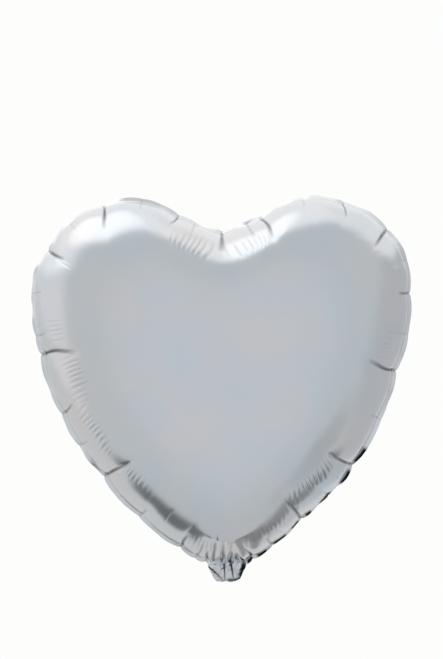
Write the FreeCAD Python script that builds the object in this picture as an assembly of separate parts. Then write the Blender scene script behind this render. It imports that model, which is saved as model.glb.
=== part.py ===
import FreeCAD, Part
import math
import os

# Heart-shaped foil balloon, 18 inch size, inflated.
#
# Frame: millimetres, +Z up through the cleft, +X to the viewer's right, the front faces -Y.
# The origin is the tail root, where a ribbon is tied.  The two skins are welded in the plane y = 0.
# Films are drawn thicker than they are: FOIL and VALVE are stand-in thicknesses.

V = FreeCAD.Vector

# ---------------------------------------------------------------- driving dimensions (mm)
FOIL = 0.5                 # stand-in thickness of the metallised film
VALVE = 0.3                # stand-in thickness of the clear valve film
BULGE = 75.0               # height of each half over the weld plane
RIM = 5.0                  # width of the flat welded rim outside the weld line
CENTRE_Z = 195.0           # height of the highest point of the dome over the tail root
FULLNESS = 3.0             # exponent of the dome profile, 2 would be an ellipse
ROUND_RADIUS = 172.0       # radius the dome's level lines round off to near the top

CLEFT = (0.0, 334.5)       # weld line at the cleft (x, z)
LOBE_TOP = (91.0, 366.5)   # weld line at the top of a lobe
SIDE = (186.5, 280.0)      # weld line at the widest place
FLANK = (110.0, 80.0)      # a point on the straight lower flank
FLANK_SLOPE = 47.0         # degrees, direction of the flank from horizontal
TIP = (0.0, 3.0)           # weld line at the bottom tip, over the tail

TAIL_WIDTH = 36.0
TAIL_SEAL = 5.0            # welded margin on each side of the tail
FOLD_Z = -14.5             # height of the fold the tail turns on
STUB_END_Z = FOLD_Z + 1.1  # the fixed part of the tail stops just above the fold
FLAP_START = 2.2           # distance of the folding part from the fold axis
FLAP_LENGTH = 46.0         # to its free end, from the fold axis
FOLD_LEAN = 52.0           # degrees the folded tail leans back from upright

VALVE_WIDTH = 20.0
NECK_TOP_Z = 20.0          # the valve films are free above this height
LIP_GAP = 0.3              # between neck and lip, and between the two lips
LIP_TOP_Z = 105.0
MOUTH_END = 43.0           # end of the valve films in the tail, from the fold axis
HOLE_RADIUS = 4.5          # filling hole
HOLE_AT = 34.0             # its distance from the fold axis

RINGS = 13                 # level lines the dome is lofted through
TURNS = 96                 # points on each level line
CAP = 0.07                 # the innermost level line, closed by a flat cap


def bezier(a, b, c, d, t):
    """Point of a cubic Bezier curve."""
    s = 1.0 - t
    k = (s * s * s, 3 * s * s * t, 3 * s * t * t, t * t * t)
    return tuple(k[0] * p + k[1] * q + k[2] * r + k[3] * w for p, q, r, w in zip(a, b, c, d))


def half_outline(steps=400):
    """Right half of the weld line, from the cleft clockwise down to the tip."""
    lean = math.radians(FLANK_SLOPE)
    along = (math.cos(lean), math.sin(lean))
    spans = (
        (CLEFT, (28, CLEFT[1]), (LOBE_TOP[0] - 34, LOBE_TOP[1]), LOBE_TOP),
        (LOBE_TOP, (LOBE_TOP[0] + 45, LOBE_TOP[1]), (SIDE[0], SIDE[1] + 53), SIDE),
        (SIDE, (SIDE[0], SIDE[1] - 72), tuple(f + 50 * a for f, a in zip(FLANK, along)), FLANK),
        (FLANK, tuple(f - 78 * a for f, a in zip(FLANK, along)), (20, TIP[1]), TIP),
    )
    return [bezier(*span, i / steps) for span in spans for i in range(steps)] + [TIP]


def rays():
    """Direction and distance from the centre to points evenly spaced along the weld line."""
    outline = half_outline()
    length = [0.0]
    for a, b in zip(outline, outline[1:]):
        length.append(length[-1] + math.dist(a, b))
    half = TURNS // 2
    right, k = [], 0
    for i in range(half + 1):
        while length[k] < length[-1] * i / half - 1e-6:
            k += 1
        x, z = outline[k]
        right.append((math.atan2(x, z - CENTRE_Z), math.hypot(x, z - CENTRE_Z)))
    return right + [(2 * math.pi - angle, far) for angle, far in reversed(right[1:-1])]


RAYS = rays()


def ring(part, height, side, inset=0.0):
    """Closed smooth level line of the dome at a share `part` of the way out to the weld line."""
    points = []
    for angle, far in RAYS:
        size = part * (part * (far - inset) + (1 - part) * ROUND_RADIUS)
        points.append(V(size * math.sin(angle), side * height, CENTRE_Z + size * math.cos(angle)))
    curve = Part.BSplineCurve()
    curve.interpolate(Points=points, PeriodicFlag=True)
    return Part.Wire(curve.toShape())


def dome(side, inset, bulge):
    """Solid half balloon: rings lofted from the weld plane to a small flat cap."""
    wires = []
    steep = math.acos(CAP)
    for i in range(RINGS):
        part = math.cos(steep * i / (RINGS - 1))
        wires.append(ring(part, bulge * math.sqrt(1 - part ** FULLNESS), side, inset))
    return Part.makeLoft(wires, True, False)


def plate(outset, side, thickness):
    """Flat plate of the outline moved outward by `outset`, on one side of the weld plane."""
    face = Part.Face(ring(1.0, 0.0, side, -outset))
    return face.extrude(V(0, side * thickness, 0))


def box(x, y, z):
    """Box between the given (low, high) pairs."""
    return Part.makeBox(x[1] - x[0], y[1] - y[0], z[1] - z[0], V(x[0], y[0], z[0]))


def layer(side, near, far):
    """The (low, high) pair of a layer lying between two distances on one side of y = 0."""
    return (min(side * near, side * far), max(side * near, side * far))


def panel(side):
    """One half of the skin: dome, its half of the welded rim and of the tail root."""
    half, pocket = TAIL_WIDTH / 2, TAIL_WIDTH / 2 - TAIL_SEAL
    inside = dome(side, FOIL, BULGE - FOIL)
    root = box((-half, half), layer(side, 0, FOIL + VALVE), (STUB_END_Z, TIP[1] + 2))
    flat = plate(RIM, side, FOIL).fuse(root).cut(inside)
    skin = dome(side, 0.0, BULGE).cut(inside).fuse(flat)
    return skin.cut(box((-pocket, pocket), layer(side, 0, VALVE), (STUB_END_Z - 1, NECK_TOP_Z)))


def strip(side, width, near, far, start, end):
    """Rectangular film from `start` to `end` in height."""
    return box((-width / 2, width / 2), layer(side, near, far), (start, end))


def fold(shape):
    """Turn a hanging piece up behind the balloon, about the fold axis."""
    out = shape.copy()
    out.rotate(V(0, 0, FOLD_Z), V(1, 0, 0), 180 - FOLD_LEAN)
    return out


def flap(side):
    """One film of the folding tail, recessed for the valve film it is welded to."""
    top, end = FOLD_Z - FLAP_START, FOLD_Z - FLAP_LENGTH
    film = strip(side, TAIL_WIDTH, 0, FOIL + VALVE, end, top)
    edges = [e for e in film.Edges if abs(e.BoundBox.ZMax - end) < 1e-6 and e.BoundBox.YLength > 0.1]
    film = film.makeFillet(6.0, edges)
    pocket = strip(side, TAIL_WIDTH - 2 * TAIL_SEAL, 0, VALVE, FOLD_Z - MOUTH_END, top + 1)
    return fold(hole(film.cut(pocket), side))


def mouth(side):
    """One valve film inside the folding tail."""
    film = strip(side, VALVE_WIDTH, 0, VALVE, FOLD_Z - MOUTH_END + 0.1, FOLD_Z - FLAP_START)
    return fold(hole(film, side))


def hole(film, side):
    """Filling hole, only through the films of the front side."""
    if side > 0:
        return film
    drill = Part.makeCylinder(HOLE_RADIUS, 4, V(0, -3, FOLD_Z - HOLE_AT), V(0, 1, 0))
    return film.cut(drill.common(box((-20, 20), (-3, 0), (-100, 0))))


def neck(side):
    """Valve film held in the tail root."""
    return strip(side, VALVE_WIDTH, 0, VALVE, STUB_END_Z, NECK_TOP_Z)


def lip(side):
    """Free inner end of a valve film."""
    near = LIP_GAP / 2
    film = strip(side, VALVE_WIDTH, near, near + VALVE, NECK_TOP_Z + LIP_GAP, LIP_TOP_Z)
    edges = [e for e in film.Edges if abs(e.BoundBox.ZMin - LIP_TOP_Z) < 1e-6 and e.BoundBox.YLength > 0.1]
    return film.makeFillet(4.0, edges)


PIECES = {"panel": panel, "valve_neck": neck, "valve_lip": lip, "tail_flap": flap, "valve_mouth": mouth}


def main():
    os.makedirs("parts", exist_ok=True)
    for name, build in PIECES.items():
        for word, side in (("front", -1), ("rear", 1)):
            node = f"{word}_panel" if name == "panel" else f"{name}_{word}"
            solid = build(side).Solids[0]
            print(node, solid.isValid(), round(solid.Volume), solid.BoundBox)
            solid.exportStep(f"parts/{node}.step")


main()
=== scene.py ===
"""Heart-shaped foil balloon: the looks, built around the CAD frame.

Shapes are worked out in millimetres in the CAD's frame (+Z up through the cleft, the front faces -Y,
the origin at the tail root) and put into the meshes in metres.
"""
import math

import bpy
import numpy as np
from mathutils import Matrix, Vector


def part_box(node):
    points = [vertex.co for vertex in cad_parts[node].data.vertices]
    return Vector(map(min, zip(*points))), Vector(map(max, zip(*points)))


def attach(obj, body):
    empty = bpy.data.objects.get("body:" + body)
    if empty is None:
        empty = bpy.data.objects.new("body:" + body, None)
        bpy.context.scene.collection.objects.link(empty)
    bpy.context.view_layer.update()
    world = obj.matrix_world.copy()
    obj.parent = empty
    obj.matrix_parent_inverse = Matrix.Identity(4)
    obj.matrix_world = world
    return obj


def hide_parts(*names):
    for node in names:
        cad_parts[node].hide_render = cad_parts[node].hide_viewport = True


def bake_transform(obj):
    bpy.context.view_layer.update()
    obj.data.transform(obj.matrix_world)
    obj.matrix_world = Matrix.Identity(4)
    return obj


bl_info = {
    "name": "Heart Foil Balloon",
    "version": (1, 0, 0),
    "blender": (4, 5, 0),
    "location": "3D View > Sidebar > Balloon",
    "description": "Builds a heart-shaped foil balloon with pleated film around its CAD frame",
    "category": "Object",
}

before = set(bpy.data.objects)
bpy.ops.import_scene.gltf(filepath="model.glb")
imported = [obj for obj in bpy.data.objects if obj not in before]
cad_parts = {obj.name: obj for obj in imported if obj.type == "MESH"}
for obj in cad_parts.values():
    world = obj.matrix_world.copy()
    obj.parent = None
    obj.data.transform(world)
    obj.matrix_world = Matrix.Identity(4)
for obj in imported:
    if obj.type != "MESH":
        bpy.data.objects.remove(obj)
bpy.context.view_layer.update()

MM = 0.001
PANEL_LOW, PANEL_HIGH = (np.array(corner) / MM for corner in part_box("front_panel"))

# ---------------------------------------------------------------- the heart, in mm
RIM = 5.0                                  # width of the flat welded rim
BULGE = -PANEL_LOW[1]                      # height of each half over the weld plane
CENTRE = np.array([0.0, 195.0])            # (x, z) of the highest point of the dome
FULLNESS = 3.0                             # exponent of the dome's profile
ROUND_RADIUS = 172.0                       # level lines round off to this near the top
CLEFT = (0.0, 334.5)
LOBE_TOP = (91.0, PANEL_HIGH[2] - RIM)
SIDE = (PANEL_HIGH[0] - RIM, 280.0)
FLANK = (110.0, 80.0)
FLANK_SLOPE = math.radians(47.0)
TIP = (0.0, 3.0)
HALF_LINE = 595.0                          # length of the weld line from the cleft to the tip
AROUND = 1200                              # grid columns round the weld line
RIM_ROWS = 3                               # grid rows across the rim
FINE_ROWS, COARSE_ROWS = 54, 20            # grid rows near the weld and over the face
FINE_TO = 0.82                             # dome parameter, in radians, where the fine rows end
POLE = 0.03                                # share of the way out where the innermost row stops
# Where the blown-up outline leaves the drawn heart: place along the weld, shift outward, reach.
UNEVEN = ((-192, -3.4, 26), (-330, 4.0, 75), (-430, -1.0, 30), (200, -1.0, 40), (510, -2.0, 40))
# The funnel over the tail: its reach along the weld, its height at the weld and its slope.
FUNNEL_REACH, FUNNEL_FOOT, FUNNEL_SLOPE = 24.0, 2.4, 1.6

# ---------------------------------------------------------------- pleats, in mm
# Place along the weld line from the cleft (+ viewer's right, - left), depth of the dip, length of the
# crease seen from the front, how far it leans along the weld per mm inward, half width of the dip.
PLEATS = (
    (0, 2.2, 20, 0.00, 24), (27, 0.9, 15, 0.00, 12), (42, 2.2, 26, 0.12, 20),
    (88, 0.5, 8, 0.05, 24), (129, 1.8, 13, 0.60, 26), (180, 2.4, 21, 0.20, 26),
    (216, 0.5, 6, 0.00, 18), (249, 2.4, 11, 0.05, 24), (290, 0.5, 8, 0.10, 22),
    (328, 3.2, 30, -0.05, 28), (378, 0.8, 9, 0.00, 24), (432, 2.6, 28, 0.12, 24),
    (470, 1.0, 6, 0.00, 20), (506, 2.6, 24, -0.10, 22), (545, 1.6, 10, 0.00, 18),
    (569, 2.2, 12, 0.20, 12), (583, 1.8, 10, 0.05, 8), (592, 2.4, 13, -0.30, 7),
    (-28, 0.7, 12, 0.10, 14), (-47, 1.8, 11, -0.25, 20), (-86, 0.5, 8, 0.00, 22),
    (-124, 2.6, 23, -0.33, 26), (-162, 0.5, 8, 0.00, 20), (-198, 2.8, 19, 0.00, 28),
    (-243, 0.6, 8, 0.05, 24), (-285, 1.0, 8, 0.00, 16), (-304, 3.4, 36, -0.13, 26),
    (-366, 2.0, 13, 0.35, 26), (-402, 0.9, 8, 0.00, 20), (-441, 3.2, 31, -0.15, 28),
    (-494, 1.4, 9, 0.00, 24), (-545, 2.6, 17, 0.10, 22), (-563, 1.4, 14, -0.10, 10),
    (-574, 2.4, 10, 0.30, 10), (-581, 1.8, 22, 0.15, 7), (-589, 1.8, 26, -0.05, 7),
)
# Bands of fine ridges: from and to along the weld, distance inward of the middle, half length, height,
# and how far the ridges lean along the weld per mm inward.
RIDGE_BANDS = (
    (436, 504, 22, 9, 0.30, -0.55), (-364, -306, 27, 12, 0.20, 0.1), (-422, -368, 20, 9, 0.22, 0.3),
    (-590, -548, 15, 9, 0.24, 0.2), (-44, -4, 21, 12, 0.24, 0.0), (4, 40, 21, 10, 0.20, 0.0),
    (510, 556, 15, 6, 0.12, -0.4), (284, 326, 16, 8, 0.07, 0.0), (-300, -272, 18, 10, 0.14, 0.0),
    (-478, -446, 24, 6, 0.16, 0.3),
)
CREASE_BOW = 0.05                          # how far a crease bows, as a share of its length
CREASE_HALF, WIDER_BY_DEPTH, WIDER_INWARD = 1.0, 0.3, 0.045   # half width of a crease, and more per mm
CREASE_EDGE = 1.7                          # how sharply a crease's painted dark line ends
DARK_DEPTH = 2.6                           # depth of a pleat whose crease gets the full painted shade
RIDGE_SPACING = 5.5                        # from one ridge to the next
RIDGE_SHADE = 1.5                          # how much painted shade a ridge's valley gets, per mm of its height
LOOSE_CREASES = 150                        # small random creases on each half
WELD_WAVE = 1.1                            # how far the weld line weaves front to back
PLEAT_WEAVE = 0.3                          # how far a pleat pulls the weld to one side, per mm of its depth
RIM_TILT = math.radians(34)                # how far the rim leans to the rear at the sides
TOP_TILT = math.radians(12)                # how much further it leans where it faces up
ROLLED_TILT, ROLLED_AT, ROLLED_REACH = math.radians(32), 505.0, 78.0   # where the rim is rolled back
RIM_CURL = 1.3                             # how far the rim's edge weaves beyond that
# Stretches along the weld where the rolled rim turns its shadowed side to the front: there it gets dark
# painted shade.
SHADED_RIM_STRETCHES = (
    (409, 430), (436, 455), (465, 484), (493, 501), (509, 521), (527, 545), (552, 565), (568, 576),
)
DASH_EDGE = 3.0                            # how sharply such a stretch ends
RIM_SHADOW_WIDTH = 1.7                          # distance out from the weld where that painted shade is full
RIM_SHADE = 0.6                            # share of a crease's painted shade that goes on across the rim
RIM_GAP = 0.12                             # from the weld plane to each film of the rim
RIM_LIMITS = (-1.1, 1.3)                   # least and most lean of the rim, in radians
RIM_WAVES = (24, 60)                       # shortest wave of the rim's fine and coarse weave, in columns
WELD_WAVES = 42                            # the same for the weld line's weave
WEAVE_FADE = 14.0                          # height over the weld where that weave has mostly gone
SHARED_FADE, MEAN_FADE = 6.0, 30.0         # the same for what both halves share at the weld, and its mean
FLAT_AT_TAIL = 22.0                        # how far from the tip the weave and the rim's lean are less

# ---------------------------------------------------------------- the tail, in mm
FOLD_Z = -14.5                             # height of the fold
FOLD_LEAN = math.radians(52.0)             # how far the folded tail leans back from upright
FLAP_LENGTH = 46.0
TAIL_TOP_Z = 12.0                          # hidden inside the tip of the heart
TAIL_WIDTHS = ((0, 33.0), (6, 38.0), (11, 38.0), (16, 36.0), (22, 33.0), (27, 31.0), (44, 35.0), (73, 36.0))
FOLD_BOW, BOW_POWER, BOW_REACH = 8.0, 4.7, 8.0   # how much higher the fold lies at the tail's sides
BEND_START = 2.2                           # how far before the fold's corner the bend starts
TAIL_SEAL = 5.0                            # width of the weld along the tail's edges
TAIL_GAP = 0.95                            # from the middle of the tail to each film
TAIL_CREASES = ((-0.72, 0.055), (-0.15, 0.0), (0.30, 0.012), (0.78, -0.01))   # place across, lean per mm
TAIL_MIDDLE = 17.0                         # distance travelled where the creases have that place
TAIL_SPAN = 18.0                           # half width of the tail that its pattern is drawn for
TAIL_COLUMNS, ROOT_ROWS, FLAP_ROWS = 121, 76, 60   # grid across and along the tail
ROOT_LENGTH = 34.0                         # distance travelled that the fine rows cover, to past the fold
ROOT_SHADE_END = 32.0                            # distance travelled where the painted shade on the root's right side ends
GATHER_AT, GATHER_POWER = 12.0, 0.6        # distance travelled where the lobes are highest, and their fall
LOBE_HALF, LOBE_POWER = 0.42, 0.8          # half width of a lobe, as a share across, and its roundness
# Share of the lobes' height, how far along the tail they reach, and the height of the crumple.
FRONT_TAIL = {"gather": 1.0, "reach": 19.0, "crumple": 0.62}
REAR_TAIL = {"gather": 0.05, "reach": 14.0, "crumple": 0.05}
RIPPLE = 0.11                              # height of the tail's long ripples
PAST_RIM = 40.0                            # added to the tail's distances, so no part counts as rim
HOLE_AT, HOLE_RADIUS = 34.0, 4.5           # the filling hole: from the fold to its middle, its radius

# ---------------------------------------------------------------- the stage, in metres
FLOOR_RADIUS, FLOOR_MIDDLE = 420, 20       # radius of the floor's outer and innermost ring, in mm
FLOOR_RINGS, FLOOR_SIDES = 12, 96
AIM = (-0.0018, 0, 0.2375)                 # the point in the middle of the view
VIEW_HEIGHT = 0.659                        # height of what the camera takes in
LAMP_POWER, LAMP_SIZE, LAMP_PLACE = 1.6, 1.6, (0, -0.1, 1.9)   # in W, its side, and where it hangs

# ---------------------------------------------------------------- light, as linear radiance
ROOM = (0.560, 0.590, 0.610)
FACING = (0.615, 0.640, 0.675)             # straight in front and behind
# What else lies round the room: colour, direction, and the cosines where it fades in and is full.
LIGHTS = {
    "floor": ((0.54, 0.555, 0.575), (0, 0, -1), 0.55, 0.85),
    "floor behind": ((0.68, 0.69, 0.695), (0, 0.8, -0.6), 0.78, 0.96),
    "left wall": ((0.74, 0.735, 0.75), (-0.92, 0.31, 0.24), 0.64, 0.84),
    "right wall": ((0.50, 0.51, 0.53), (0.95, 0.31, 0), 0.62, 0.85),
    "lower left": ((0.62, 0.625, 0.63), (-0.45, 0.65, -0.62), 0.62, 0.88),
    "low right": ((0.45, 0.47, 0.48), (0.70, -0.45, -0.55), 0.95, 0.99),
    "corner on the left": ((0.15, 0.155, 0.16), (-0.55, 0.0, -0.835), 0.94, 0.996),
    "corner on the right": ((0.27, 0.28, 0.29), (0.62, 0.05, -0.783), 0.955, 0.996),
    "corner near the right": ((0.23, 0.235, 0.24), (0.40, 0.14, -0.906), 0.962, 0.998),
    "corner by the tail": ((0.30, 0.305, 0.31), (0.27, 0.42, -0.866), 0.975, 0.998),
    "ceiling behind": ((0.92, 0.93, 0.945), (0, 0.6, 0.8), 0.55, 0.85),
    "upper left": ((0.93, 0.935, 0.95), (-0.52, 0.25, 0.82), 0.74, 0.92),
    "upper right": ((0.84, 0.845, 0.855), (0.62, 0.25, 0.74), 0.84, 0.95),
    "ceiling": ((0.93, 0.935, 0.945), (0, 0, 1), 0.88, 0.98),
    "softbox": ((1.20, 1.21, 1.22), (-0.46, 0, 0.888), 0.85, 0.96),
}


def linear(code):
    """An sRGB hex colour as linear RGBA."""
    parts = [int(code[i:i + 2], 16) / 255 for i in (0, 2, 4)]
    return [p / 12.92 if p <= 0.04045 else ((p + 0.055) / 1.055) ** 2.4 for p in parts] + [1.0]


def add_node(tree, kind, settings=(), links=()):
    """Adds a node, sets attributes and inputs by name or index, and links its inputs to sockets."""
    node = tree.nodes.new(kind)
    for key, value in settings:
        if isinstance(key, str) and hasattr(node, key):
            setattr(node, key, value)
        else:
            node.inputs[key].default_value = value
    for key, socket in links:
        tree.links.new(socket, node.inputs[key])
    return node


# ---------------------------------------------------------------- curves and grids


def bezier(a, b, c, d, steps):
    """Cubic Bezier: the four points weighted by (1-t)^3, 3t(1-t)^2, 3t^2(1-t) and t^3."""
    t = np.linspace(0, 1, steps, endpoint=False)[:, None]
    a, b, c, d = (np.array(p, float) for p in (a, b, c, d))
    return (1 - t) ** 3 * a + 3 * t * (1 - t) ** 2 * b + 3 * t ** 2 * (1 - t) * c + t ** 3 * d


def weld_line():
    """Closed weld line (x, z), clockwise from the cleft, evenly spaced: four Bezier spans, mirrored."""
    along = np.array([math.cos(FLANK_SLOPE), math.sin(FLANK_SLOPE)])
    spans = (
        (CLEFT, (28, CLEFT[1]), (LOBE_TOP[0] - 34, LOBE_TOP[1]), LOBE_TOP),
        (LOBE_TOP, (LOBE_TOP[0] + 45, LOBE_TOP[1]), (SIDE[0], SIDE[1] + 53), SIDE),
        (SIDE, (SIDE[0], SIDE[1] - 72), np.array(FLANK) + 50 * along, FLANK),
        (FLANK, np.array(FLANK) - 78 * along, (20, TIP[1]), TIP),
    )
    right = np.vstack([bezier(*span, 400) for span in spans] + [[TIP]])
    length = np.r_[0, np.cumsum(np.hypot(*np.diff(right, axis=0).T))]
    want = np.linspace(0, length[-1], AROUND // 2 + 1)
    half = np.stack([np.interp(want, length, right[:, i]) for i in (0, 1)], axis=1)
    left = half[-2:0:-1] * (-1, 1)
    return np.vstack([half, left])


def smooth_noise(count, spacing, seed):
    """Periodic noise on `count` columns: random phases on the waves longer than `spacing` columns."""
    rng = np.random.default_rng(seed)
    top = int(count / spacing)
    waves = np.zeros(count // 2 + 1, complex)
    waves[1:top + 1] = rng.normal(size=top) + 1j * rng.normal(size=top)
    noise = np.fft.irfft(waves, count)
    return noise / noise.std()


def surface(name, points, wrap, pole=None, flip=False, uv=None, cut=None):
    """Mesh object from a grid of points in mm (rows, columns): quads, closed round if `wrap`, with an
    optional fan to a pole after the last row.  uv holds the grid's two coordinates, in mm, and cut
    marks the quads that are left out."""
    rows, cols = points.shape[:2]
    index = np.arange(rows * cols).reshape(rows, cols)
    right = np.roll(index, -1, axis=1) if wrap else index[:, 1:]
    left = index if wrap else index[:, :-1]
    quads = np.stack([left[:-1], right[:-1], right[1:], left[1:]], axis=-1).reshape(-1, 4)
    kept = slice(None) if cut is None else ~cut.ravel()
    quads = quads[kept]
    fan = np.zeros((0, 3), int)
    verts = points.reshape(-1, 3) * MM
    if pole is not None:
        verts = np.vstack([verts, np.array(pole) * MM])
        fan = np.stack([left[-1], right[-1], np.full(left.shape[1], rows * cols)], axis=-1)
    if flip:
        quads, fan = quads[:, ::-1], fan[:, ::-1]
    mesh = bpy.data.meshes.new(name)
    mesh.from_pydata(verts.tolist(), [], quads.tolist() + fan.tolist())
    if uv is not None:
        span = uv[0][:, 1:2] - uv[0][:, :1]
        u = np.hstack([uv[0], uv[0][:, -1:] + span]) if wrap else uv[0]
        v = np.hstack([uv[1], uv[1][:, :1]]) if wrap else uv[1]
        grid = np.stack([u, v], axis=-1) * MM
        corner = np.stack([grid[:-1, :-1], grid[:-1, 1:], grid[1:, 1:], grid[1:, :-1]], axis=2)
        corner = corner.reshape(-1, 4, 2)[kept]
        tip = np.stack([grid[-1, :-1], grid[-1, 1:], (grid[-1, :-1] + grid[-1, 1:]) / 2], axis=1)
        if flip:
            corner, tip = corner[:, ::-1], tip[:, ::-1]
        loops = np.vstack([corner.reshape(-1, 2), tip.reshape(-1, 2)[:fan.size]])
        layer = mesh.uv_layers.new(name="along_weld")
        layer.data.foreach_set("uv", loops.astype(np.float32).ravel())
    mesh.polygons.foreach_set("use_smooth", np.ones(len(mesh.polygons), bool))
    mesh.update()
    obj = bpy.data.objects.new(name, mesh)
    bpy.context.scene.collection.objects.link(obj)
    return obj


def add_shade_and_seam(piece, shade):
    """Stores how dark each grid point is in the crease attribute, from 0 to 1: painted shade, and on the tail
    also its faint weld line; a pole gets 0.
    """
    values = np.zeros(len(piece.data.vertices), np.float32)
    values[:shade.size] = shade.ravel()
    piece.data.attributes.new("crease", "FLOAT", "POINT").data.foreach_set("value", values)


def unit(v):
    """Vectors scaled to length one."""
    return v / np.linalg.norm(v, axis=-1, keepdims=True)


# ---------------------------------------------------------------- the heart's film


def signed_gap(place, at):
    """Shortest way along the closed weld line from `at` to `place`, in mm."""
    return (place - at + HALF_LINE) % (2 * HALF_LINE) - HALF_LINE


def dip(x):
    """A dip with a sharp bottom: (1 - |x|)^2 inside |x| < 1, zero outside."""
    return np.clip(1 - np.abs(x), 0, 1) ** 2


def pleat_dips(place, inward, pleats):
    """How far the pleats dip, in mm, and how much painted shade their creases get: each is a wide dip that
    fades inward plus a narrow crease that bows a little to one side and ends in a point."""
    depths = np.zeros(np.broadcast(place, inward).shape)
    shade = np.zeros_like(depths)
    for number, (at, depth, length, lean, width) in enumerate(PLEATS):
        gone = np.clip(inward / length, 0, 1)
        bow = CREASE_BOW * length * math.sin(3.7 * number) * np.sin(gone * math.pi * 1.5)
        off = signed_gap(place, at) - lean * inward - bow
        fade = np.clip(1 - inward / (12 + 1.3 * length), 0, 1) ** 1.5
        point = (1 - gone) ** 0.7
        narrow = CREASE_HALF + WIDER_BY_DEPTH * depth + WIDER_INWARD * inward
        depths += pleats.depth * depth * dip(off / width) * fade
        depths += pleats.crease * depth * dip(off / (1.6 * narrow)) * point
        # Painted shade along the crease line: full for deep pleats, fading towards its point.
        strength = min(1.0, depth / DARK_DEPTH) * point * np.clip((inward + 3) / 4, 0, 1)
        shade += strength * np.clip(CREASE_EDGE * (1 - np.abs(off) / narrow), 0, 1)
    return depths, shade


def ridge_waves(place, inward, seed, pleats):
    """How high the bands of fine ridges stand, in mm, and how much painted shade their valleys get: a cosine
    along the weld, a little uneven, under one smooth window along the weld and one inward."""
    rise = np.zeros(np.broadcast(place, inward).shape)
    shade = np.zeros_like(rise)
    for number, (start, end, middle, half, height, lean) in enumerate(RIDGE_BANDS):
        off = signed_gap(place, (start + end) / 2)
        uneven = 0.75 + 0.25 * np.sin(off * 0.9 + number) * np.sin(off * 0.37 + 2 * number)
        middle = middle + 2.0 * np.sin(off / 8 + number)
        half = half * (0.4 + 0.6 * uneven)
        window = np.clip(1 - (off / ((end - start) / 2 + 5)) ** 2, 0, 1) ** 0.7
        window = window * np.clip(1 - ((inward - middle) / half) ** 2, 0, 1)
        wave = np.cos(2 * math.pi / RIDGE_SPACING * (off - lean * inward + 0.9 * np.sin(off / 6 + seed)))
        rise += height * uneven * (wave - 0.3 * wave ** 2) * window
        # Painted shade in the ridges' valleys.
        shade += RIDGE_SHADE * height * uneven * window * np.clip(-wave, 0, 1) ** 2
    return pleats.ridges * rise, pleats.ridges * shade


def loose_dips(place, inward, seed, pleats):
    """How far the small creases at random places dip, in mm; some of them stand up instead."""
    rng = np.random.default_rng(11 + seed)
    depths = np.zeros(np.broadcast(place, inward).shape)
    for _ in range(LOOSE_CREASES):
        at, start = rng.uniform(0, 2 * HALF_LINE), rng.uniform(-4, 22)
        length, width = rng.uniform(5, 22), rng.uniform(2.0, 7)
        lean, depth = rng.uniform(-0.6, 0.6), rng.uniform(-0.15, 0.3)
        off = signed_gap(place, at) - lean * inward
        window = np.clip(1 - ((inward - start) / length) ** 2, 0, 1)
        depths += pleats.loose * depth * dip(off / width) * window
    return depths


def pleated(place, inward, seed, pleats):
    """How far the film stands off the smooth dome, in mm, and how much painted shade it gets in its creases
    and ridge valleys, from 0 to 1, at each place along the weld and distance inward seen from the front."""
    depths, shade = pleat_dips(place, inward, pleats)
    ridges, valleys = ridge_waves(place, inward, seed, pleats)
    return ridges - depths - loose_dips(place, inward, seed, pleats), np.clip(shade + valleys, 0, 1)


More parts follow.
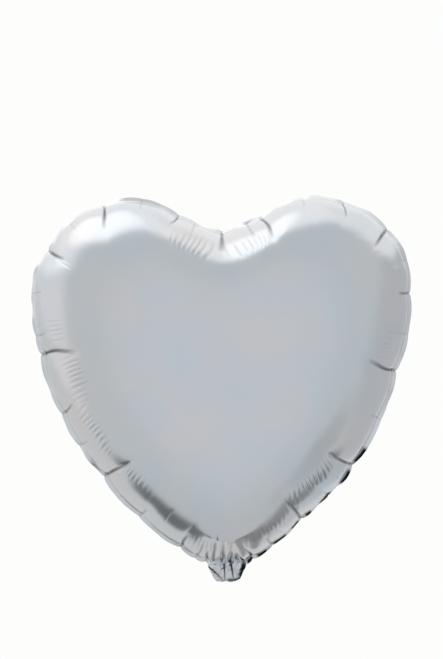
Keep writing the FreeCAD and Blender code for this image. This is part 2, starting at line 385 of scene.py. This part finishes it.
def film_grid(side, pleats):
    """Points, places along the weld, distances inward and painted crease shade of one half: the rim, then the
    dome.

    The dome: at share p = cos(f) of the way out, a level line at distance p (p far + (1 - p) round)
    from the centre and at height bulge * sqrt(1 - p^3), lowered to a funnel over the tail.  The pleats
    then move it along its normal.  The rim goes straight out from the weld and leans to the rear.
    """
    place = np.arange(AROUND) * 2 * HALF_LINE / AROUND
    line = weld_line()
    along = unit(np.roll(line, -1, axis=0) - np.roll(line, 1, axis=0))
    for at, shift, reach in UNEVEN:
        bell = shift * np.exp(-(signed_gap(place, at) / reach) ** 2)
        line = line + bell[:, None] * np.stack([-along[:, 1], along[:, 0]], axis=1)
    away = line - CENTRE
    far = np.linalg.norm(away, axis=1)
    heading = away / far[:, None]
    steep = math.acos(POLE)
    f = np.r_[np.linspace(0, FINE_TO, FINE_ROWS, endpoint=False), np.linspace(FINE_TO, steep, COARSE_ROWS)]
    share = np.cos(f)[:, None]
    size = share * (share * far + (1 - share) * ROUND_RADIUS)
    height = BULGE * np.sqrt(1 - share ** FULLNESS) * np.ones_like(size)
    near_tip = np.exp(-(signed_gap(place, HALF_LINE) / FUNNEL_REACH) ** 2)
    height -= near_tip * np.clip(height - FUNNEL_FOOT - FUNNEL_SLOPE * (far - size), 0, None)
    height *= side
    dome = np.stack([CENTRE[0] + size * heading[:, 0], height, CENTRE[1] + size * heading[:, 1]], axis=-1)

    round_ = np.roll(dome, -1, axis=1) - np.roll(dome, 1, axis=1)
    normal = unit(np.cross(round_, np.gradient(dome, f, axis=0)))
    outward = unit(np.stack([-round_[0, :, 2], 0 * far, round_[0, :, 0]], axis=-1))
    outward *= np.sign(np.sum(outward[:, ::2] * away, axis=1))[:, None]
    normal *= np.sign(np.sum(normal[1] * outward, axis=1).mean())
    normal[0] = outward

    square = np.sum(heading * outward[:, ::2], axis=1)
    inward = (far - size) * square
    slid = (far - size) * np.sum(heading * along, axis=1)
    rise, shade = pleated(place - slid, inward, side, pleats)
    weld_rise = pleated(place, np.zeros(AROUND), 0, pleats)[0]
    climb = np.abs(height)
    rise += (weld_rise - rise[0]) * np.exp(-climb / SHARED_FADE)
    rise -= weld_rise.mean() * np.exp(-climb / MEAN_FADE)
    at_tail = 1 - np.exp(-(signed_gap(place, HALF_LINE) / FLAT_AT_TAIL) ** 2)
    weave = WELD_WAVE * smooth_noise(AROUND, WELD_WAVES, 3)
    for number, (at, depth, _, _, width) in enumerate(PLEATS):
        weave += (-1) ** number * PLEAT_WEAVE * depth * dip(signed_gap(place, at) / (0.6 * width))
    dome += normal * rise[..., None]
    dome[..., 1] += weave * at_tail * np.exp(-climb / WEAVE_FADE)

    edge = np.linspace(RIM, 0, RIM_ROWS, endpoint=False)[:, None]
    fine, coarse = (smooth_noise(AROUND, wave, seed) for wave, seed in zip(RIM_WAVES, (5, 6)))
    curl = RIM_CURL * (0.5 * fine + 0.5 * coarse)
    rolled = ROLLED_TILT * np.exp(-(signed_gap(place, ROLLED_AT) / ROLLED_REACH) ** 4)
    tilt = np.clip(RIM_TILT + TOP_TILT * outward[:, 2] + rolled + curl / RIM, *RIM_LIMITS) * at_tail
    rim = dome[:1] + outward * (edge * np.cos(tilt))[..., None]
    rim[..., 1] += edge * np.sin(tilt) + side * RIM_GAP
    points = np.concatenate([rim, dome])
    inward = np.vstack([-edge * np.ones(AROUND), inward])
    # Painted shade on the rim: dark dashes on the rolled stretches, and the creases' painted shade carried
    # across.
    under = np.zeros(AROUND)
    for start, end in SHADED_RIM_STRETCHES:
        off = 2 * np.abs(place - (start + end) / 2) / (end - start)
        under += np.clip(DASH_EDGE * (1 - off), 0, 1)
    rim_shade = np.maximum(shade[:1] * RIM_SHADE, np.clip(under, 0, 1) * np.clip(edge / RIM_SHADOW_WIDTH, 0, 1))
    shade = np.vstack([rim_shade, shade])
    return points, np.broadcast_to(place, inward.shape), inward, shade


def make_film(side, pleats):
    """One half of the heart as an open sheet with its rim, facing outwards."""
    name = "front_foil" if side < 0 else "rear_foil"
    points, place, inward, shade = film_grid(side, pleats)
    pole = points[-1].mean(axis=0)
    pole[1] = side * BULGE
    piece = surface(name, points, wrap=True, pole=pole, flip=side > 0, uv=(place, inward))
    # Painted shade of the creases, ridge valleys and rim.
    add_shade_and_seam(piece, shade)
    return piece


# ---------------------------------------------------------------- the tail's film


def tail_path(travel, across):
    """Middle surface of the tail (y, z) and how far it has turned, by distance travelled from its top:
    straight down to the fold, a tight bend, then straight up and back behind the balloon.  Close to the
    fold its sides are pulled up, by a power of the place across times a bell of the distance."""
    bend_start = TAIL_TOP_Z - FOLD_Z - BEND_START
    bend_turn = math.pi - FOLD_LEAN
    radius = BEND_START / math.tan(bend_turn / 2)
    bend_length = radius * bend_turn
    turned = np.clip((travel - bend_start) / radius, 0, bend_turn)
    after = np.clip(travel - bend_start - bend_length, 0, None)
    y = radius * (1 - np.cos(turned)) + after * math.sin(bend_turn)
    z = TAIL_TOP_Z - np.minimum(travel, bend_start) - radius * np.sin(turned) - after * math.cos(bend_turn)
    from_fold = travel - bend_start - bend_length / 2
    z = z + FOLD_BOW * np.abs(across) ** BOW_POWER * np.exp(-(from_fold / BOW_REACH) ** 2)
    return y, z, turned


def cut_hole(x, travel):
    """Marks the quads whose middle lies in the filling hole and moves the grid points on their border
    out to its circle."""
    middle = TAIL_TOP_Z - FOLD_Z + HOLE_AT
    off = np.stack([x, travel - middle], axis=-1)
    centre = (off[:-1, :-1] + off[:-1, 1:] + off[1:, 1:] + off[1:, :-1]) / 4
    cut = np.linalg.norm(centre, axis=-1) < HOLE_RADIUS
    around = np.pad(cut, 1)
    touching = np.stack([around[:-1, :-1], around[:-1, 1:], around[1:, 1:], around[1:, :-1]])
    border = touching.any(axis=0) & ~touching.all(axis=0)
    off[border] = HOLE_RADIUS * unit(off[border])
    return cut, off[..., 0], off[..., 1] + middle


def tail_creases(side, across, travel):
    """How far the film has risen from the nearest crease, as a rounded share, and how near its line it is,
    both from 0 to 1; the second sets the painted shade along the creases.  A crease is a straight line that
    leans across the tail."""
    lobes, sharp = np.ones_like(travel), np.zeros_like(travel)
    for at, lean in TAIL_CREASES:
        gap = np.abs(across + side * (at + lean * (travel - TAIL_MIDDLE)))
        lobes = np.minimum(lobes, np.sin(np.clip(gap / LOBE_HALF, 0, 1) * math.pi / 2) ** LOBE_POWER)
        sharp = np.maximum(sharp, np.clip(1.3 - gap / (0.04 + 0.07 * abs(at)), 0, 1))
    return lobes, sharp


def tail_offset(side, gather, across, travel, total, lobes, reach):
    """How far the film stands off the middle of the tail, in mm: the lobes, three waves of crumple and
    ripple, and a fall to nothing at the closed sides and end."""
    form = FRONT_TAIL if side < 0 else REAR_TAIL
    closing = np.clip((1 - np.abs(across)) / 0.16, 0, 1) ** 0.6 * np.clip((total - travel) / 5, 0, 1) ** 0.6
    high = gather * form["gather"] * (0.85 + 0.35 * np.sin(3 * across + 0.22 * travel))
    high *= 1 + 0.7 * np.clip((15 - travel) / 8, 0, 1) * (side < 0)
    ripple = np.sin(across * 7 + travel * 0.23 + side) + np.sin(across * 4 - travel * 0.31 + 2 * side)
    crumple = np.sin(across * 14 + travel * 0.9 + 1.3 * np.sin(travel * 0.5 - 4 * across)) * (0.04 + reach)
    offset = (TAIL_GAP + high * reach * lobes) * closing + 0.06
    return side * (offset + (RIPPLE * ripple + form["crumple"] * crumple) * closing)


def tail_shade(side, across, travel, total, z, creases):
    """How dark each grid point is, from 0 to 1: painted shade in the creases and on the root's shadowed right
    side and fold, and the faint line of the weld round the part bent back behind."""
    # Painted shade on the front film's root: its rolled right edge and the fold, darkened as if turned from
    # the light.
    root = travel < ROOT_SHADE_END
    bowed = FOLD_Z + FOLD_BOW * np.abs(across) ** BOW_POWER + 1.4
    fold_shade = np.clip(1 - np.abs(z - bowed) / 2.6, 0, 1) * np.clip((across + 0.1) / 0.2, 0, 1)
    rolled = np.clip((across - 0.70) / 0.1, 0, 1) * np.clip((travel - 5) / 5, 0, 1)
    dark = np.maximum(rolled, fold_shade) * root * (side < 0)
    to_edge = np.minimum(TAIL_SPAN * (1 - np.abs(across)), total - travel)
    weld = np.clip(1 - np.abs(to_edge - TAIL_SEAL) / 0.6, 0, 1) * 0.35 * np.clip(travel / 4 - 6, 0, 1)
    return np.clip(np.maximum(np.maximum(creases, dark), weld), 0, 1)


def make_tail(side, gather):
    """One film of the tail, carried along the tail's path: across it the film stands off the middle in
    lobes between a few leaning creases, deepest at the tied root and flat towards the closed end."""
    form = FRONT_TAIL if side < 0 else REAR_TAIL
    total = TAIL_TOP_Z - FOLD_Z + FLAP_LENGTH + 1.0
    root_rows = np.linspace(0, ROOT_LENGTH, ROOT_ROWS, endpoint=False)
    travel = np.r_[root_rows, np.linspace(ROOT_LENGTH, total, FLAP_ROWS)]
    across = np.linspace(-1, 1, TAIL_COLUMNS)
    end_round = np.clip((total - travel) / 6, 0, 1)
    width = np.interp(travel, *zip(*TAIL_WIDTHS)) * (0.86 + 0.14 * np.sqrt(1 - (1 - end_round) ** 2))
    x = width[:, None] / 2 * across
    travel = np.repeat(travel[:, None], across.size, axis=1)
    cut = None
    if side < 0:
        cut, x, travel = cut_hole(x, travel)
    y, z, turned = tail_path(travel, across)
    reach = np.clip(1 - np.abs(travel - GATHER_AT) / form["reach"], 0, 1) ** GATHER_POWER
    lobes, sharp = tail_creases(side, across, travel)
    offset = tail_offset(side, gather, across, travel, total, lobes, reach)
    y = y + offset * np.cos(turned)
    z = z + offset * np.sin(turned)
    name = "tail_front_foil" if side < 0 else "tail_rear_foil"
    uv = (np.broadcast_to(across * TAIL_SPAN, x.shape), travel + PAST_RIM)
    piece = surface(name, np.stack([x, y, z], axis=-1), wrap=False, flip=side > 0, uv=uv, cut=cut)
    # Painted shade of the tail's creases, root side and fold, plus its faint weld line.
    add_shade_and_seam(piece, tail_shade(side, across, travel, total, z, sharp * reach))
    return piece


# ---------------------------------------------------------------- materials

# Size of each pattern's lumps, in mm.
DRIFT_SIZE, SMUDGE_SIZE, PEEL_SIZE, GRAIN_SIZE, CLOUD_SIZE = 70, 25, 9, 1.4, 12


def noise(tree, size, detail, place):
    """A noise texture on a place in metres, with lumps of a size in mm."""
    settings = [("Scale", 1000 / size), ("Detail", detail)]
    return add_node(tree, "ShaderNodeTexNoise", settings, [("Vector", place)])


def foil_material(look):
    """Vacuum-metallised nylon film: a thin mirror coat on stretched plastic.  The eye gets a bright,
    slightly blurred mirror with a faint cool and warm drift, fine orange peel, a duller welded rim, painted
    near black shade deep in creases and shadowed places and the tail's faint weld line.  The film's real
    grain is too fine to show and is drawn 1.4 mm."""
    material = bpy.data.materials.new("metallised_nylon_film")
    material.use_nodes = True
    tree = material.node_tree
    tree.nodes.clear()
    place = add_node(tree, "ShaderNodeTexCoord").outputs["Object"]
    weld = add_node(tree, "ShaderNodeUVMap", [("uv_map", "along_weld")]).outputs["UV"]
    parts = add_node(tree, "ShaderNodeSeparateXYZ", links=[(0, weld)])

    drift = noise(tree, DRIFT_SIZE, 2.0, place)
    tint = add_node(tree, "ShaderNodeValToRGB", links=[(0, drift.outputs["Fac"])])
    tint.color_ramp.elements[0].position, tint.color_ramp.elements[1].position = 0.35, 0.65
    tint.color_ramp.elements[0].color = linear(look.cool)
    tint.color_ramp.elements[1].color = linear(look.warm)

    on_rim = add_node(
        tree, "ShaderNodeMapRange",
        [("From Min", 0.0015), ("From Max", -0.0005), ("To Min", 0.0), ("To Max", 1.0)],
        [(0, parts.outputs["Y"])],
    )
    colour = add_node(
        tree, "ShaderNodeMix", [("data_type", "RGBA"), (7, linear(look.rim))],
        [(0, on_rim.outputs[0]), (6, tint.outputs["Color"])],
    )
    # Painted shade: the crease attribute mixes the film toward the dark shade colour in creases, ridge
    # valleys, on the rolled rim and the tail's root; on the tail it also draws the faint weld line.
    crease = add_node(tree, "ShaderNodeAttribute", [("attribute_name", "crease")]).outputs["Fac"]
    shade_and_seam = add_node(
        tree, "ShaderNodeMix", [("data_type", "RGBA"), (7, linear(look.shade_and_seam))],
        [(0, crease), (6, colour.outputs[2])],
    )
    smudge = noise(tree, SMUDGE_SIZE, 4.0, place)
    rough = add_node(
        tree, "ShaderNodeMapRange", [("To Min", look.roughness - 0.03), ("To Max", look.roughness + 0.05)],
        [(0, smudge.outputs["Fac"])],
    )
    rim_rough = add_node(
        tree, "ShaderNodeMath", [("operation", "MULTIPLY_ADD"), (1, 0.12)],
        [(0, on_rim.outputs[0]), (2, rough.outputs[0])],
    )

    peel = noise(tree, PEEL_SIZE, 2.0, place)
    grain = noise(tree, GRAIN_SIZE, 1.0, place)
    both = add_node(
        tree, "ShaderNodeMath", [("operation", "MULTIPLY_ADD"), (1, 0.12)],
        [(0, grain.outputs["Fac"]), (2, peel.outputs["Fac"])],
    )
    bump = add_node(
        tree, "ShaderNodeBump", [("Strength", look.peel), ("Distance", 0.4 * MM)],
        [("Height", both.outputs[0])],
    )
    shader = add_node(
        tree, "ShaderNodeBsdfPrincipled", [("Metallic", 1.0)],
        [("Base Color", shade_and_seam.outputs[2]), ("Roughness", rim_rough.outputs[0]), ("Normal", bump.outputs[0])],
    )
    add_node(tree, "ShaderNodeOutputMaterial", links=[(0, shader.outputs[0])])
    return material


def valve_material(look):
    """Clear polyethylene film: milky, limp and glossy.  The eye gets a pale see-through strip with a
    soft highlight and faint cloudiness."""
    material = bpy.data.materials.new("clear_polyethylene_film")
    material.use_nodes = True
    tree = material.node_tree
    tree.nodes.clear()
    place = add_node(tree, "ShaderNodeTexCoord").outputs["Object"]
    cloud = noise(tree, CLOUD_SIZE, 3.0, place)
    tint = add_node(tree, "ShaderNodeValToRGB", links=[(0, cloud.outputs["Fac"])])
    tint.color_ramp.elements[0].color = linear(look.valve)
    tint.color_ramp.elements[1].color = linear("FFFFFF")
    rough = add_node(
        tree, "ShaderNodeMapRange", [("To Min", 0.22), ("To Max", 0.4)], [(0, cloud.outputs["Fac"])],
    )
    shader = add_node(
        tree, "ShaderNodeBsdfPrincipled", [("IOR", 1.51), ("Transmission Weight", 0.7)],
        [("Base Color", tint.outputs["Color"]), ("Roughness", rough.outputs[0])],
    )
    add_node(tree, "ShaderNodeOutputMaterial", links=[(0, shader.outputs[0])])
    return material


def stored(name, make, *args):
    """The material of that name, made the first time it is asked for."""
    return bpy.data.materials.get(name) or make(*args)


# ---------------------------------------------------------------- settings


class BalloonPleats(bpy.types.PropertyGroup):
    """How the film is gathered at the weld."""

    depth: bpy.props.FloatProperty(
        name="Pleat depth", default=1.0, min=0, max=3, subtype="FACTOR",
        description="Scale of the wide dips between the bulges")
    crease: bpy.props.FloatProperty(
        name="Crease depth", default=0.5, min=0, max=1, subtype="FACTOR",
        description="Scale of the narrow creases in the dips")
    ridges: bpy.props.FloatProperty(
        name="Ridges", default=1.0, min=0, max=3, subtype="FACTOR",
        description="Scale of the fine ridges near the weld")
    loose: bpy.props.FloatProperty(
        name="Loose creases", default=1.0, min=0, max=3, subtype="FACTOR",
        description="Scale of the small random creases")
    gather: bpy.props.FloatProperty(
        name="Tail gather", default=2.6, min=0, max=4,
        description="Height of the lobes in the tied tail, in mm")


class BalloonLook(bpy.types.PropertyGroup):
    """Colours and finishes, as sRGB hex."""

    cool: bpy.props.StringProperty(
        name="Cool silver", default="E4EAEE", description="Film colour where it drifts cool")
    warm: bpy.props.StringProperty(
        name="Warm silver", default="ECEAEA", description="Film colour where it drifts warm")
    rim: bpy.props.StringProperty(
        name="Rim silver", default="F4F5F6", description="Film colour on the welded rim")
    # Colour of the painted shade in creases and shadowed places, and of the tail's faint weld line.
    shade_and_seam: bpy.props.StringProperty(
        name="Shade and seam silver", default="25272B",
        description="Film colour deep in a crease, where little light gets in")
    valve: bpy.props.StringProperty(
        name="Valve film", default="E3E8E9", description="Colour of the valve film")
    roughness: bpy.props.FloatProperty(
        name="Film roughness", default=0.16, min=0, max=1, subtype="FACTOR",
        description="How much the film blurs what it mirrors")
    peel: bpy.props.FloatProperty(
        name="Orange peel", default=0.12, min=0, max=1, subtype="FACTOR",
        description="Strength of the film's fine unevenness")


class BalloonStage(bpy.types.PropertyGroup):
    """Floor, light and camera."""

    distance: bpy.props.FloatProperty(
        name="Camera distance", description="From the weld plane to the camera", default=3.0, unit="LENGTH")
    floor: bpy.props.FloatProperty(
        name="Floor height", description="Height of the floor", default=-0.62, unit="LENGTH")
    roll: bpy.props.FloatProperty(
        name="Camera roll", description="Tilt of the camera about its line of sight",
        default=math.radians(-0.9), subtype="ANGLE")


# ---------------------------------------------------------------- operators


class BALLOON_OT_foils(bpy.types.Operator):
    """Front and rear film with the welded rim."""

    bl_idname = "balloon.foils"
    bl_label = "Front and rear film"

    def execute(self, context):
        scene = context.scene
        for side, node in ((-1, "front_panel"), (1, "rear_panel")):
            piece = make_film(side, scene.balloon_pleats)
            piece.data.materials.append(stored("metallised_nylon_film", foil_material, scene.balloon_look))
            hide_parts(node)
            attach(piece, "balloon")
        return {"FINISHED"}


class BALLOON_OT_tail(bpy.types.Operator):
    """The two films of the gathered tail, turned up behind."""

    bl_idname = "balloon.tail"
    bl_label = "Tail films"

    def execute(self, context):
        scene = context.scene
        for side, node in ((-1, "tail_flap_front"), (1, "tail_flap_rear")):
            piece = make_tail(side, scene.balloon_pleats.gather)
            piece.data.materials.append(stored("metallised_nylon_film", foil_material, scene.balloon_look))
            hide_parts(node)
            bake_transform(piece)
        return {"FINISHED"}


class BALLOON_OT_valve(bpy.types.Operator):
    """Clear film of the valve, on the CAD's own solids."""

    bl_idname = "balloon.valve"
    bl_label = "Valve films"

    def execute(self, context):
        film = stored("clear_polyethylene_film", valve_material, context.scene.balloon_look)
        for name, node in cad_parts.items():
            if name.startswith("valve_"):
                node.data.materials.clear()
                node.data.materials.append(film)
        return {"FINISHED"}


def studio_world():
    """Soft studio: an even grey room with pale and dark parts laid over it, each round its own
    direction.  The camera sees the pale background."""
    world = bpy.data.worlds.new("studio")
    bpy.context.scene.world = world
    world.use_nodes = True
    tree = world.node_tree
    tree.nodes.clear()
    way = add_node(tree, "ShaderNodeTexCoord").outputs["Generated"]
    parts = add_node(tree, "ShaderNodeSeparateXYZ", links=[(0, way)])
    depth = add_node(tree, "ShaderNodeMath", [("operation", "ABSOLUTE")], [(0, parts.outputs["Y"])])

    def layer(below, colour, source, low, high):
        """Lays a colour over what is below, from none where the source is low to all where it is high."""
        share = add_node(
            tree, "ShaderNodeMapRange",
            [("interpolation_type", "SMOOTHSTEP"), ("From Min", low), ("From Max", high)], [(0, source)],
        ).outputs[0]
        return add_node(
            tree, "ShaderNodeMix", [("data_type", "RGBA"), (7, (*colour, 1.0))], [(0, share), (6, below)],
        ).outputs[2]

    room = add_node(tree, "ShaderNodeRGB").outputs[0]
    room.default_value = (*ROOM, 1.0)
    room = layer(room, FACING, depth.outputs[0], 0.70, 1.0)
    for colour, direction, low, high in LIGHTS.values():
        towards = add_node(
            tree, "ShaderNodeVectorMath", [("operation", "DOT_PRODUCT"), (1, direction)], [(0, way)],
        ).outputs["Value"]
        room = layer(room, colour, towards, low, high)
    light = add_node(tree, "ShaderNodeBackground", links=[("Color", room)])
    pale = add_node(tree, "ShaderNodeBackground", [("Color", linear("FDFEFC"))])
    seen = add_node(tree, "ShaderNodeLightPath").outputs["Is Camera Ray"]
    both = [(0, seen), (1, light.outputs[0]), (2, pale.outputs[0])]
    mix = add_node(tree, "ShaderNodeMixShader", links=both)
    add_node(tree, "ShaderNodeOutputWorld", links=[(0, mix.outputs[0])])


def floor(height):
    """Pale round floor under the balloon: a disc of rings from its edge to the middle.  The foil mirrors
    the floor of the studio's world instead, which has no edge."""
    around = np.linspace(0, 2 * math.pi, FLOOR_SIDES, endpoint=False)
    rings = np.linspace(FLOOR_RADIUS, FLOOR_MIDDLE, FLOOR_RINGS)[:, None]
    level = np.full((rings.size, around.size), height / MM)
    points = np.stack([rings * np.cos(around), rings * np.sin(around), level], axis=-1)
    disc = surface("floor", points, wrap=True, pole=(0, 0, height / MM))
    material = bpy.data.materials.new("matt_white_card")
    material.use_nodes = True
    shader = material.node_tree.nodes["Principled BSDF"]
    shader.inputs["Base Color"].default_value = linear("F2F2F0")
    shader.inputs["Roughness"].default_value = 0.9
    disc.data.materials.append(material)
    disc.visible_glossy = False


class BALLOON_OT_stage(bpy.types.Operator):
    """Pale floor, soft studio light and the camera."""

    bl_idname = "balloon.stage"
    bl_label = "Stage"

    def execute(self, context):
        scene = context.scene
        setup = scene.balloon_stage
        floor(setup.floor)
        studio_world()
        scene.view_settings.view_transform = "Standard"
        lamp = bpy.data.lights.new("ceiling_softbox", "AREA")
        lamp.energy, lamp.size = LAMP_POWER, LAMP_SIZE
        softbox = bpy.data.objects.new("ceiling_softbox", lamp)
        softbox.location = LAMP_PLACE
        softbox.visible_glossy = False
        scene.collection.objects.link(softbox)
        data = bpy.data.cameras.new("camera")
        camera = bpy.data.objects.new("camera", data)
        scene.collection.objects.link(camera)
        camera.location = Vector(AIM) - Vector((0, setup.distance, 0))
        turn = Matrix.Rotation(math.radians(90), 3, "X") @ Matrix.Rotation(setup.roll, 3, "Z")
        camera.rotation_euler = turn.to_euler()
        data.sensor_width = 36.0
        data.lens = data.sensor_width * setup.distance / VIEW_HEIGHT
        data.clip_end = 50.0
        scene.camera = camera
        return {"FINISHED"}


class BALLOON_PT_panel(bpy.types.Panel):
    """Lists the balloon's settings and the operators that build it."""

    bl_label = "Foil balloon"
    bl_idname = "BALLOON_PT_panel"
    bl_space_type = "VIEW_3D"
    bl_region_type = "UI"
    bl_category = "Balloon"

    def draw(self, context):
        for group in (context.scene.balloon_pleats, context.scene.balloon_look, context.scene.balloon_stage):
            box = self.layout.box()
            for name in group.__annotations__:
                box.prop(group, name)
        for operator in OPERATORS:
            self.layout.operator(operator.bl_idname)


GROUPS = {"balloon_pleats": BalloonPleats, "balloon_look": BalloonLook, "balloon_stage": BalloonStage}
OPERATORS = (BALLOON_OT_foils, BALLOON_OT_tail, BALLOON_OT_valve, BALLOON_OT_stage)


def register():
    for item in (*GROUPS.values(), *OPERATORS, BALLOON_PT_panel):
        bpy.utils.register_class(item)
    for name, group in GROUPS.items():
        setattr(bpy.types.Scene, name, bpy.props.PointerProperty(type=group))


def unregister():
    for name in GROUPS:
        delattr(bpy.types.Scene, name)
    for item in reversed((*GROUPS.values(), *OPERATORS, BALLOON_PT_panel)):
        bpy.utils.unregister_class(item)


def main():
    register()
    bpy.ops.balloon.foils()
    bpy.ops.balloon.tail()
    bpy.ops.balloon.valve()
    bpy.ops.balloon.stage()
    bpy.context.view_layer.update()


if __name__ == "__main__":
    main()
